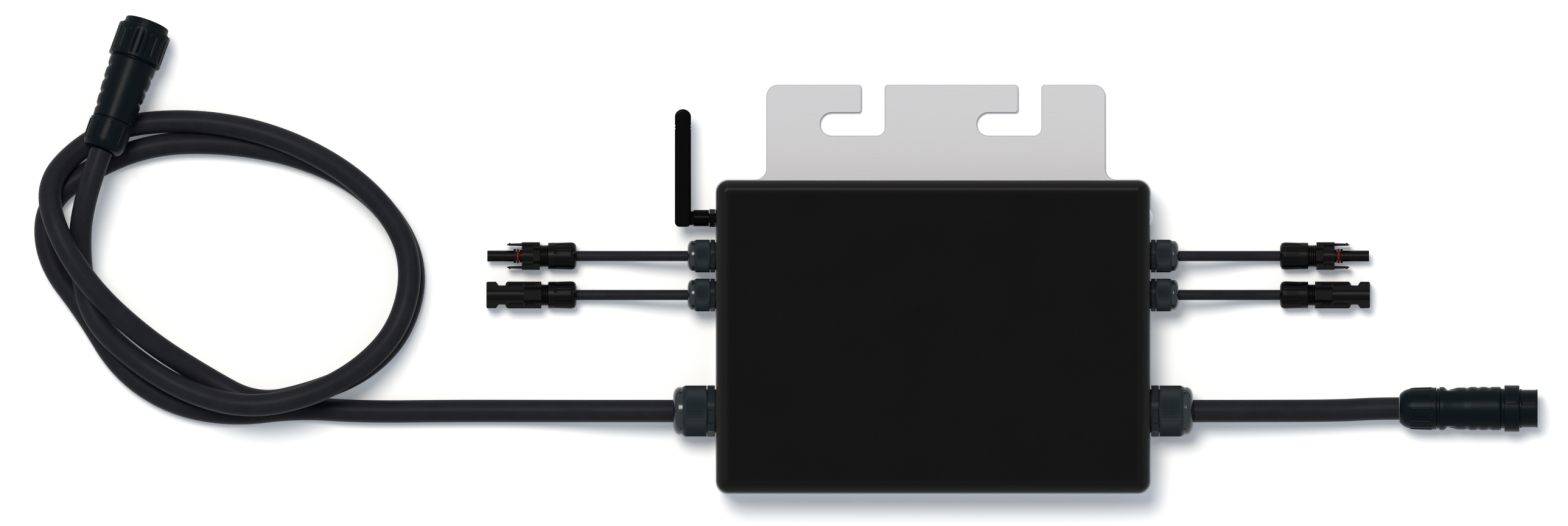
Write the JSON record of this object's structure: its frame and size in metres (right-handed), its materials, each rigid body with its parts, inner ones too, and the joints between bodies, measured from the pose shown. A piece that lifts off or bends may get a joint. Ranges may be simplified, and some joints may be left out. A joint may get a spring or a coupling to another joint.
{
  "type": "micro inverter",
  "caption": "Flat black micro inverter on a hook plate, with folding antenna, grid trunk cable looped to one side, solar leads and their connectors.",
  "frame": {"origin": "middle of the hook plate's back face, midway across the plate, cover, glands and antenna", "axes": "+Z out of the cover, +Y towards the hanging hooks, +X towards the side with the indicator lamp"},
  "size_m": [0.9713, 0.3093, 0.0459],
  "materials": {
    "bracket_metal": "anodised sheet, satin",
    "cover_coat": "fine textured black powder coat",
    "black_rubber": "matt",
    "screw_steel": "plated",
    "spacer_brass": "plated",
    "circuit_board": "solder resist",
    "ferrite": "matt",
    "copper_wire": "enamelled",
    "component_plastic": "moulded",
    "gland_nylon": "moulded nylon",
    "connector_plastic": "moulded, satin",
    "coupling_plastic": "moulded nylon",
    "seal_red": "silicone",
    "cable_sheath": "smooth sheath",
    "antenna_plastic": "polished",
    "connector_metal": "plated",
    "lens_plastic": "frosted"
  },
  "bodies": {
    "case": {"ac_inner_wires": "cable_sheath", "ac_lead_right": "cable_sheath", "ac_left_body": "coupling_plastic", "ac_left_insert": "coupling_plastic", "ac_left_nut": "coupling_plastic", "ac_right_body": "coupling_plastic", "ac_right_insert": "coupling_plastic", "ac_right_nut": "coupling_plastic", "ac_terminal_block": "component_plastic", "ac_trunk_left": "cable_sheath", "antenna_jack": "connector_metal", "antenna_nut": "connector_metal", "antenna_pigtail": "cable_sheath", "back_plate": "bracket_metal", "board_screws": "screw_steel", "board_standoffs": "spacer_brass", "choke_core": "ferrite", "choke_winding": "copper_wire", "cover": "cover_coat", "cover_gasket": "black_rubber", "cover_screws": "screw_steel", "dc_inner_wires": "cable_sheath", "dc_terminals": "spacer_brass", "film_capacitors": "component_plastic", "gland_locknuts": "gland_nylon", "gland_seals": "black_rubber", "gland_washers": "black_rubber", "grid_relays": "component_plastic", "indicator_led": "lens_plastic", "indicator_lens": "lens_plastic", "input_capacitors": "component_plastic", "large_gland_bodies": "gland_nylon", "large_gland_cap_left": "gland_nylon", "large_gland_cap_right": "gland_nylon", "main_board": "circuit_board", "power_transistors": "component_plastic", "pv_contacts": "spacer_brass", "pv_female_left": "connector_plastic", "pv_female_right": "connector_plastic", "pv_lead_left_lower": "cable_sheath", "pv_lead_left_upper": "cable_sheath", "pv_lead_right_lower": "cable_sheath", "pv_lead_right_upper": "cable_sheath", "pv_male_left": "connector_plastic", "pv_male_right": "connector_plastic", "pv_nuts_left": "connector_plastic", "pv_nuts_right": "connector_plastic", "pv_orings": "seal_red", "radio_module": "circuit_board", "small_gland_bodies": "gland_nylon", "small_gland_caps": "gland_nylon", "thermal_pad": "black_rubber", "transformer_cores": "ferrite", "transformer_windings": "copper_wire"},
    "antenna_swivel_arm": {"antenna_elbow": "antenna_plastic"},
    "antenna_paddle": {"antenna_blade": "antenna_plastic", "antenna_hinge_pin": "connector_metal"},
    "right_coupling": {"ac_right_collar": "coupling_plastic"},
    "left_coupling": {"ac_left_ring": "coupling_plastic"}
  },
  "joints": [
    {"name": "antenna_swivel", "type": "hinge", "parent": "case", "child": "antenna_swivel_arm", "pos_m": [-0.15, 0.046, 0.0215], "axis": [1, 0, 0], "range_deg": [0, 135]},
    {"name": "antenna_fold", "type": "hinge", "parent": "antenna_swivel_arm", "child": "antenna_paddle", "pos_m": [-0.1616, 0.046, 0.0215], "axis": [0, 0, 1], "range_deg": [0, 90]},
    {"name": "right_collar_turn", "type": "hinge", "parent": "case", "child": "right_coupling", "pos_m": [0.3742, -0.077, 0.0152], "axis": [1, 0, 0], "range_deg": [0, 45]},
    {"name": "left_ring_turn", "type": "hinge", "parent": "case", "child": "left_coupling", "pos_m": [-0.51264, 0.15734, 0.01967], "axis": [0.3341, 0.9244, -0.1841], "range_deg": [0, 45]}
  ]
}
